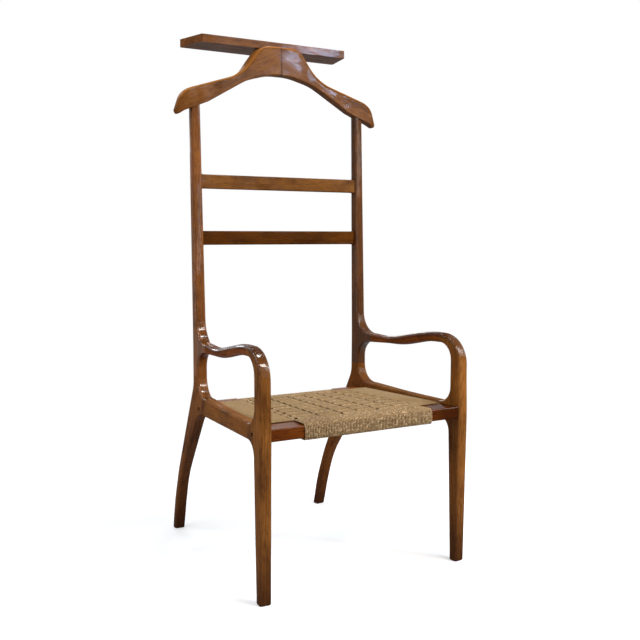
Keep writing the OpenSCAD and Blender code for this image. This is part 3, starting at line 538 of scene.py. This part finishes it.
class CHAIR_OT_side_frames(bpy.types.Operator):
    """Finish the legs, armrests, uprights and side rails"""

    bl_idname = "chair.side_frames"
    bl_label = "Side frames"

    def execute(self, context):
        for number, kind in enumerate(SIDE_FRAME_BOARDS):
            for side, seed in (("left", 1), ("right", 2)):
                finish_board(f"{kind}_{side}", BOARDS[kind], seed + 3.1 * number)
        return {"FINISHED"}


class CHAIR_OT_rails(bpy.types.Operator):
    """Finish the seat rails and the back rails"""

    bl_idname = "chair.rails"
    bl_label = "Rails"

    def execute(self, context):
        for number, name in enumerate(RAIL_BOARDS):
            finish_board(name, BOARDS[name], 20 + 2.7 * number)
        for side in ("left", "right"):
            finish_board(f"seat_side_rail_{side}", BOARDS["seat_side_rail"], 40)
        return {"FINISHED"}


class CHAIR_OT_hanger(bpy.types.Operator):
    """Finish the two halves of the hanger"""

    bl_idname = "chair.hanger"
    bl_label = "Hanger"

    def execute(self, context):
        for name, seed in (("hanger_left", 51), ("hanger_right", 55)):
            finish_board(name, BOARDS[name], seed)
        return {"FINISHED"}


class CHAIR_OT_tray(bpy.types.Operator):
    """Finish the tray and its bracket"""

    bl_idname = "chair.tray"
    bl_label = "Tray"

    def execute(self, context):
        for name, seed, slot in (("valet_tray", 61, "walnut"), ("tray_bracket", 66, "rail")):
            finish_board(name, BOARDS[name], seed)
        return {"FINISHED"}


class CHAIR_OT_fasteners(bpy.types.Operator):
    """Finish the bolts, nuts, screws and dowels"""

    bl_idname = "chair.fasteners"
    bl_label = "Fasteners"

    def execute(self, context):
        steel, beech = blackened_steel("dark_steel"), dowel_wood("dowel_wood")
        for name in STEEL_NODES:
            finish_node(name, steel)
        for name in DOWEL_NODES:
            finish_node(name, beech)
        return {"FINISHED"}


# ---- Woven seat -------------------------------------------------------------------------------------------

# A cord: its strands, how deep the grooves between them go as a share of its radius, the seed of its
# unevenness, how thin and thick it gets, and how often its path is smoothed
STRANDS = 3
GROOVE = 0.34
CORD_SEED = 7
THINNEST, THICKEST = 0.93, 1.05
SMOOTHINGS = 2

# Lengthwise cords in each bundle, from the left. A bundle of fewer cords than DRAWN_BUNDLE isn't drawn in.
BUNDLES = (3, 15, 15, 12, 13, 13, 13)
DRAWN_BUNDLE = 6
# The run over which a lengthwise bundle is drawn in, and how far on the front or rear rail it starts
DRAWING_RUN, DRAWING_START = 22 * MM, 8 * MM
# The underside of the seat rails lies this far under their top
RAIL_HEIGHT = 29 * MM
# How far the lengthwise cords lie under the level of the rear seat rail's exposed ends, the run in which
# they come down to that, and how far before the rail it starts
REAR_RECESS = 6 * MM
RECESS_RUN, RECESS_START = 14 * MM, 6 * MM
# Radius of the lengthwise cords' bend over the front and rear seat rails, the run from the rails' outer
# faces in which their rise and fall begins, and how far they turn in under the rails
WRAP_ROUNDING = 5.5 * MM
WRAP_RUN = 5 * MM
TURN_IN = 2 * MM
# A crosswise cord changes level over the gap between two bundles plus this length, and a lengthwise one
# over this share of a group's depth
CROSSWISE_CHANGE = 7 * MM
LENGTHWISE_CHANGE = 0.55
# What a group of crosswise cords leaves free of its depth, a cord's distance from a side rail's outer
# face as a share of its radius, its level over that face as a share of the lift, and the run from there
# to its own level
GROUP_GAP = 0.3 * MM
PRESSED = 0.95
SIDE_LEVEL = 0.3
SIDE_RUN = 9 * MM
# The first crosswise cords, behind the front rail, each lie this much lower than the next
LOW_CORDS, LOW_STEP = 3, 0.7 * MM
# How far a cord is cut off at the corners of its rails
CORNER = 1.5 * MM
# Under the seat a crosswise cord starts to rise this far outside the lengthwise cords, and is above them
# this far inside their edge
RISE_OUTSIDE, RISE_INSIDE = 12 * MM, 4 * MM
# The weave's holes: their reach from the line between two bundles, the level over which a cord is a lip with
# a painted highlight and the one under which it has painted shade, both as shares of the lift above the wood,
# and how much of that painted shade there is away from the holes
HOLE_REACH = 7.5 * MM
LIP_LEVEL = 0.7
SHADE_LEVEL = 0.65
OPEN_SHADE = 0.2


class SeatPlan:
    """Where the seat's wood lies, read from the frame"""

    def __init__(self):
        front_low, front_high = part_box("front_seat_rail")
        rear_low, rear_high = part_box("rear_seat_rail")
        self.front, self.start = front_low.y, front_high.y
        self.end, self.rear = rear_low.y, rear_high.y
        self.top = front_high.z
        self.slope = (front_high.z - rear_high.z) / (rear_low.y - front_low.y)
        side_low, side_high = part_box("seat_side_rail_right")
        corners = [v.co for v in NODES["seat_side_rail_right"].data.vertices]
        self.side_start = max(c.x for c in corners if abs(c.y - side_low.y) < MM)
        self.side_end = max(c.x for c in corners if abs(c.y - side_high.y) < MM)

    def wood_top(self, y):
        return self.top - self.slope * (y - self.front)

    def half_width(self, y):
        """Distance from the middle to the outer face of an inner side rail"""
        share = (y - self.start) / (self.end - self.start)
        return self.side_start + (self.side_end - self.side_start) * share


def eased(value):
    """From 0 to 1 with soft ends, as value goes from 0 to 1"""
    value = max(0.0, min(1.0, value))
    return value * value * (3 - 2 * value)


def mixed(a, b, share):
    return a + (b - a) * eased(share)


def rounded(distance, radius):
    """How far a rounded edge falls away at a distance from its end"""
    short = max(0.0, radius - distance)
    return radius - math.sqrt(radius * radius - short * short)


def evened(points, step):
    """The closed line through the points, cut into equal steps, with its corners rounded"""
    ends = points[1:] + points[:1]
    length = sum((b - a).length for a, b in zip(points, ends))
    count = round(length / step)
    pace = length / count
    made = []
    gone = 0.0
    for a, b in zip(points, ends):
        span = (b - a).length
        while gone < span and len(made) < count:
            made.append(a.lerp(b, gone / span))
            gone += pace
        gone -= span
    for _ in range(SMOOTHINGS):
        made = [(made[i - 1] + made[i] * 2 + made[(i + 1) % len(made)]) / 4 for i in range(len(made))]
    return made


def tube_mesh(name, paths, radius, lay, hidden):
    """One mesh of many twisted cords, each a closed list of points. Its crest attribute is 1 on the strands
    and 0 in the grooves between them. Its lie attribute holds a cord's number, the distance along it and how
    far it is hidden in a hollow of the weave, below 0 on the hollow's lips, from which the paper paints shade
    and highlight."""
    sides = 2 * STRANDS
    vertices, faces, crests, lies = [], [], [], []
    chance = random.Random(CORD_SEED)
    for number, path in enumerate(paths):
        count = len(path)
        pace = (path[1] - path[0]).length
        start = len(vertices)
        turned = chance.uniform(0, math.tau)
        plump = radius * chance.uniform(THINNEST, THICKEST)
        side = Vector((0, 0, 1)).cross(path[1] - path[0])
        turns = max(1, round(count * pace / lay)) * math.tau
        for i, here in enumerate(path):
            ahead = (path[(i + 1) % count] - path[i - 1]).normalized()
            side = (side - ahead * side.dot(ahead)).normalized()
            up = ahead.cross(side)
            twist = turned + turns * i / count
            for k in range(sides):
                angle = twist + math.tau * k / sides
                out = plump * (1 if k % 2 == 0 else 1 - GROOVE)
                vertices.append(here + (side * math.cos(angle) + up * math.sin(angle)) * out)
                crests.append(1.0 - k % 2)
                lies += (number, i * pace, hidden(here))
        for i in range(count):
            j = (i + 1) % count
            for k in range(sides):
                m = (k + 1) % sides
                faces.append((
                    start + i * sides + k, start + i * sides + m,
                    start + j * sides + m, start + j * sides + k))
    mesh = bpy.data.meshes.new(name)
    mesh.from_pydata(vertices, [], faces)
    mesh.attributes.new("crest", "FLOAT", "POINT").data.foreach_set("value", crests)
    mesh.attributes.new("lie", "FLOAT_VECTOR", "POINT").data.foreach_set("vector", lies)
    mesh.shade_smooth()
    mesh.update()
    made = bpy.data.objects.new(name, mesh)
    bpy.context.scene.collection.objects.link(made)
    return made


class Weave:
    """Heights and places of the seat's cords"""

    def __init__(self, plan, look):
        self.plan, self.look = plan, look
        self.radius = look.cord / 2
        self.cords = sum(BUNDLES)
        self.edges = [sum(BUNDLES[:i]) / self.cords for i in range(len(BUNDLES) + 1)]
        self.groups = look.crosswise // look.bundle
        self.group_depth = (plan.end - plan.start) / self.groups

    def band_half(self, y):
        """Half the width of the lengthwise cords at a depth"""
        share = (y - self.plan.front) / (self.plan.rear - self.plan.front)
        return (self.look.width + (self.look.rear_width - self.look.width) * share) / 2

    def side_of_band(self, x, y):
        """Where x lies across the lengthwise cords, from 0 to 1"""
        half = self.band_half(y)
        return (x + half) / (2 * half)

    def crosswise_over(self, bundle, group):
        """1 where the crosswise cords lie over a bundle, and -1 where they lie under it"""
        if not 0 <= bundle < len(BUNDLES):
            return 1
        return 1 if (bundle + group) % 2 == 0 else -1

    def crosswise_level(self, x, y, group):
        """Level of a crosswise cord, from -1 to 1, which changes beside the bundles"""
        place = self.side_of_band(x, y)
        width = 2 * self.band_half(y)
        level = self.crosswise_over(-1, group)
        for bundle, edge in enumerate(self.edges):
            share = (place - edge) * width / (2 * self.look.drawing_in + CROSSWISE_CHANGE) + 0.5
            level = mixed(level, self.crosswise_over(bundle, group), share)
        return level

    def lengthwise_level(self, y, bundle):
        """Level of a lengthwise cord, from -1 to 1, which changes between the groups"""
        place = (y - self.plan.start) / self.group_depth
        level = 1.0
        for group in range(self.groups + 1):
            target = -self.crosswise_over(bundle, group) if group < self.groups else 1.0
            level = mixed(level, target, (place - group) / LENGTHWISE_CHANGE + 0.5)
        return level

    def near_edge(self, x, y):
        """1 between two bundles of lengthwise cords, and 0 away from there"""
        width = 2 * self.band_half(y)
        away = min(abs(self.side_of_band(x, y) - edge) * width for edge in self.edges[1:-1])
        return math.exp(-((away / HOLE_REACH) ** 4))

    def hidden(self, point):
        """Up to 1 for a point of a cord in the weave's hollows, 0 on top of it, and down to -1 on the lips of
        the hollows. The paper paints shade from the first and a highlight from the last."""
        if not self.plan.start < point.y < self.plan.end:
            return 0.0
        drop = (self.plan.wood_top(point.y) - point.z) / self.look.lift
        edge = self.near_edge(point.x, point.y)
        if drop < -LIP_LEVEL:
            return -edge
        return max(0.0, min(1.0, drop + SHADE_LEVEL)) * (OPEN_SHADE + (1 - OPEN_SHADE) * edge)

    def crosswise_path(self, index):
        """The closed line of a crosswise cord, counted from the front"""
        look, plan = self.look, self.plan
        group, inner = divmod(index, look.bundle)
        spread = (inner + 0.5) / look.bundle - 0.5
        middle = plan.start + (group + 0.5) * self.group_depth
        y = middle + spread * (self.group_depth - GROUP_GAP)
        half = plan.half_width(y)
        wood, low = plan.wood_top(y), plan.wood_top(y) - RAIL_HEIGHT
        points = []
        steps = round(2 * half / look.step)
        for i in range(1, steps):
            x = -half + 2 * half * i / steps
            pull = 2 * spread * look.opening * self.near_edge(x, y)
            level = self.crosswise_level(x, y, group) * look.lift
            rise = mixed(SIDE_LEVEL * look.lift, level, (half - abs(x)) / SIDE_RUN)
            rise -= max(0, LOW_CORDS - index) * LOW_STEP
            points.append(Vector((x, y - pull, wood + rise)))
        outer, inside = half + self.radius * PRESSED, self.band_half(y)
        right = (
            (outer, wood - CORNER), (outer, low + CORNER), (half - CORNER, low - look.lift),
            (inside + RISE_OUTSIDE, low - look.lift), (inside - RISE_INSIDE, low + look.lift),
        )
        points += [Vector((x, y, z)) for x, z in right]
        points += [Vector((-x, y, z)) for x, z in reversed(right)]
        return evened(points, look.step)

    def lengthwise_path(self, index):
        """The closed line of a lengthwise cord, counted from the left"""
        look, plan = self.look, self.plan
        place = (index + 0.5) / self.cords
        bundle = next(i for i, edge in enumerate(self.edges[1:]) if place < edge)
        left, right = self.edges[bundle], self.edges[bundle + 1]
        inner = (place - (left + right) / 2) / (right - left) * 2
        draw = 0.0 if BUNDLES[bundle] < DRAWN_BUNDLE else look.drawing_in
        front, rear = plan.front - self.radius, plan.rear + self.radius
        points = []
        steps = round((rear - front) / look.step)
        for i in range(1, steps):
            y = front + (rear - front) * i / steps
            drawn = eased((y - plan.start + DRAWING_START) / DRAWING_RUN)
            drawn *= eased((plan.end - y + DRAWING_START) / DRAWING_RUN)
            x = (2 * place - 1) * self.band_half(y) - inner * draw * drawn
            drop = REAR_RECESS * eased((y - plan.end + RECESS_START) / RECESS_RUN)
            drop += rounded(y - front, WRAP_ROUNDING) + rounded(rear - y, WRAP_ROUNDING)
            rise = self.lengthwise_level(y, bundle) * look.lift
            edge = eased(min(y - front, rear - y) / WRAP_RUN)
            points.append(Vector((x, y, plan.wood_top(y) - drop + rise * edge)))
        for y, drop, side in ((rear, REAR_RECESS, -1), (front, 0.0, 1)):
            x = (2 * place - 1) * self.band_half(y)
            top, low = plan.wood_top(y) - drop, plan.wood_top(y) - RAIL_HEIGHT
            bend = [
                Vector((x, y, top - WRAP_ROUNDING)), Vector((x, y, low + CORNER)),
                Vector((x, y + side * TURN_IN, low - look.lift)),
            ]
            points += bend if side < 0 else bend[::-1]
        return evened(points, look.step)


class CHAIR_OT_cord_seat(bpy.types.Operator):
    """Weave the seat from twisted paper cord"""

    bl_idname = "chair.cord_seat"
    bl_label = "Cord seat"

    def execute(self, context):
        look = context.scene.cord_seat
        weave = Weave(SeatPlan(), look)
        for name, count, path, paper, spots in (
            ("crosswise_cords", look.crosswise, weave.crosswise_path, look.yellow, 0.4),
            ("lengthwise_cords", weave.cords, weave.lengthwise_path, look.pale, 0.65),
        ):
            paths = [path(i) for i in range(count)]
            cords = tube_mesh(name, paths, weave.radius, look.lay, weave.hidden)
            cords.data.materials.append(twisted_paper(f"paper_of_{name}", paper, spots))
            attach(cords, "root")
            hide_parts("cord_seat")
        return {"FINISHED"}


# ---- Studio -----------------------------------------------------------------------------------------------

SENSOR_WIDTH = 36
# The floor is whole up to the first distance from the chair and clear from the second
FLOOR_WHOLE, FLOOR_CLEAR = 0.8, 2.0
# The floor as it throws light back on the chair, and as it shows, with a glow that brings it to white
FLOOR_UNDER, FLOOR_SHOWN, FLOOR_GLOW = (0.30, 0.27, 0.24), (0.8, 0.8, 0.8), 0.4
# The light from all round
ROOM_COLOUR, ROOM_LIGHT = (0.93, 0.96, 1.0), 0.28
# Gloss shows white walls and a dim ceiling. Each is a height, from -1 straight down to 1 straight up,
# and a brightness.
WALL_TOP, CEILING = (0.5, 1), (0.7, 0.12)
# Each lamp's name, place, target, size, power in watts and colour. A tube also has the line it follows.
LAMPS = (
    ("overhead", (0.5, -1.7, 2.25), (0, 0, 0.5), (0.45, 0.45), 22, (1.0, 0.95, 0.88)),
    ("front_panel", (1.45, -1.9, 1.6), (0, 0, 0.6), (1.4, 1.0), 37, (0.98, 0.95, 0.9)),
    ("front_window", (1.22, -1.68, 1.70), (0, 0, 1.2), (0.2, 0.3), 20, (0.4, 0.64, 1.0)),
    ("front_strip", (0.42, -2.3, 0.98), (-0.1, 0, 0.9), (0.4, 0.5), 5.5, (0.95, 0.97, 1.0)),
    ("left_fill", (-2.6, 0.3, 0.55), (0, 0, 0.45), (0.6, 0.6), 9, (1.0, 0.98, 0.95)),
    ("left_window", (-2.27, 1.64, 2.1), (-0.2, 0.2, 1.3), (0.4, 0.35), 5, (0.5, 0.68, 1.0)),
    ("side_tube", (-1.87, -0.15, 2.08), (-0.2, -0.2, 0.5), (2.2, 0.1), 22, (0.95, 0.97, 1.0),
     (0.47, 0.84, 0.36)),
    ("top_spot", (0.4, -0.1, 2.6), (0, 0, 0.5), (0.25, 0.25), 9, (0.95, 0.97, 1.0)),
    ("back_fill", (1.2, 2.4, 1.7), (0, 0.2, 0.6), (1.0, 0.8), 14, (1.0, 0.97, 0.93)),
    ("back_window", (-0.33, 2.6, 1.3), (-0.2, 0, 0.6), (0.5, 0.28), 3.5, (0.9, 0.95, 1.0)),
    ("high_window", (0.05, 1.4, 2.6), (0, 0, 0.6), (0.4, 0.3), 8, (0.85, 0.92, 1.0)),
)


def shown(sheet):
    """1 for what the camera sees, straight, in gloss or through something clear, and 0 for other light"""
    path = sheet.add("ShaderNodeLightPath").outputs
    seen = sheet.math("MAXIMUM", path["Is Camera Ray"], path["Is Glossy Ray"])
    return sheet.math("MAXIMUM", seen, path["Is Transmission Ray"])


def pale_floor(name):
    """A floor that shows white with the chair's shadow, and clears away from the chair"""
    sheet = Sheet(bpy.data.materials.new(name))
    seen = shown(sheet)
    reach = sheet.add("ShaderNodeVectorMath", {0: sheet.coordinates()}, operation="LENGTH").outputs["Value"]
    faded = sheet.add("ShaderNodeMapRange", {
        "Value": reach, "From Min": FLOOR_WHOLE, "From Max": FLOOR_CLEAR,
    }, interpolation_type="SMOOTHSTEP").outputs[0]
    under = sheet.add("ShaderNodeBsdfDiffuse", {"Color": rgba(FLOOR_UNDER)})
    pale = sheet.add("ShaderNodeBsdfDiffuse", {"Color": rgba(FLOOR_SHOWN)})
    glow = sheet.add("ShaderNodeEmission", {"Color": (1, 1, 1, 1), "Strength": FLOOR_GLOW})
    white = sheet.add("ShaderNodeAddShader", {0: pale.outputs[0], 1: glow.outputs[0]})
    floor = sheet.add("ShaderNodeMixShader", {0: seen, 1: under.outputs[0], 2: white.outputs[0]})
    clear = sheet.add("ShaderNodeBsdfTransparent")
    return sheet.finish(sheet.add("ShaderNodeMixShader", {
        0: sheet.math("MULTIPLY", faded, seen), 1: floor.outputs[0], 2: clear.outputs[0]}))


def white_room(name):
    """A world that shows white to the camera, white walls and a dim ceiling to gloss, and lights evenly"""
    sheet = Sheet(bpy.data.worlds.new(name), "ShaderNodeOutputWorld")
    room = sheet.add("ShaderNodeBackground", {"Color": rgba(ROOM_COLOUR), "Strength": ROOM_LIGHT})
    height = sheet.parts(sheet.coordinates("Generated"))["Z"]
    walls = sheet.math(
        "MAXIMUM", sheet.steps(height, WALL_TOP, CEILING),
        sheet.add("ShaderNodeLightPath").outputs["Is Camera Ray"])
    white = sheet.add("ShaderNodeBackground", {"Color": walls, "Strength": 1.0})
    return sheet.finish(sheet.add("ShaderNodeMixShader", {
        0: shown(sheet), 1: room.outputs[0], 2: white.outputs[0]}))


def area_light(name, place, target, size, power, colour, along=None):
    """A rectangular lamp that shines on the target, with its first side level or as near as it can to
    the line along"""
    lamp = bpy.data.lights.new(name, "AREA")
    lamp.shape = "RECTANGLE"
    lamp.size, lamp.size_y = size
    lamp.energy = power
    lamp.color = colour
    made = bpy.data.objects.new(name, lamp)
    made.location = place
    back = (Vector(place) - Vector(target)).normalized()
    first = Vector(along) if along else Vector((0, 0, 1)).cross(back)
    first = (first - back * first.dot(back)).normalized()
    made.rotation_euler = Matrix((first, back.cross(first), back)).transposed().to_euler()
    bpy.context.scene.collection.objects.link(made)


class CHAIR_OT_studio(bpy.types.Operator):
    """Set up the camera, the floor and the lights"""

    bl_idname = "chair.studio"
    bl_label = "Studio"

    def execute(self, context):
        scene, look = context.scene, context.scene.studio
        lens = bpy.data.cameras.new("camera")
        lens.lens, lens.sensor_width = look.lens, SENSOR_WIDTH
        camera = bpy.data.objects.new("camera", lens)
        camera.location = look.camera_place
        camera.rotation_euler = (math.radians(90) - look.tilt, 0, -look.turn)
        scene.collection.objects.link(camera)
        scene.camera = camera

        mesh = bpy.data.meshes.new("floor")
        reach = look.floor
        corners = [(-reach, -reach, 0), (reach, -reach, 0), (reach, reach, 0), (-reach, reach, 0)]
        mesh.from_pydata(corners, [], [(0, 1, 2, 3)])
        mesh.materials.append(pale_floor("pale_floor"))
        floor = bpy.data.objects.new("floor", mesh)
        scene.collection.objects.link(floor)

        scene.view_settings.view_transform = "Standard"
        scene.world = white_room("studio")
        for lamp in LAMPS:
            area_light(*lamp)
        return {"FINISHED"}


class CHAIR_PT_panel(bpy.types.Panel):
    """Lists the steps that finish the chair, and what can be changed in them"""

    bl_idname = "CHAIR_PT_panel"
    bl_label = "Valet chair"
    bl_space_type = "VIEW_3D"
    bl_region_type = "UI"
    bl_category = "Valet chair"

    def draw(self, context):
        layout = self.layout
        for group in GROUPS:
            box = layout.box()
            values = getattr(context.scene, group)
            for name in values.bl_rna.properties.keys():
                if name not in ("rna_type", "name"):
                    box.prop(values, name)
        for operator in OPERATORS:
            layout.operator(operator.bl_idname)


OPERATORS = (
    CHAIR_OT_side_frames, CHAIR_OT_rails, CHAIR_OT_hanger, CHAIR_OT_tray,
    CHAIR_OT_fasteners, CHAIR_OT_cord_seat, CHAIR_OT_studio,
)
GROUPS = {"wood_finish": WoodFinish, "cord_seat": CordSeat, "studio": Studio}
CLASSES = (*GROUPS.values(), *OPERATORS, CHAIR_PT_panel)


def register():
    for made in CLASSES:
        bpy.utils.register_class(made)
    for name, group in GROUPS.items():
        setattr(bpy.types.Scene, name, bpy.props.PointerProperty(type=group))


def unregister():
    for name in GROUPS:
        delattr(bpy.types.Scene, name)
    for made in reversed(CLASSES):
        bpy.utils.unregister_class(made)


def main():
    register()
    for operator in OPERATORS:
        step = operator.bl_idname.split(".")[1]
        getattr(bpy.ops.chair, step)()


if __name__ == "__main__":
    main()
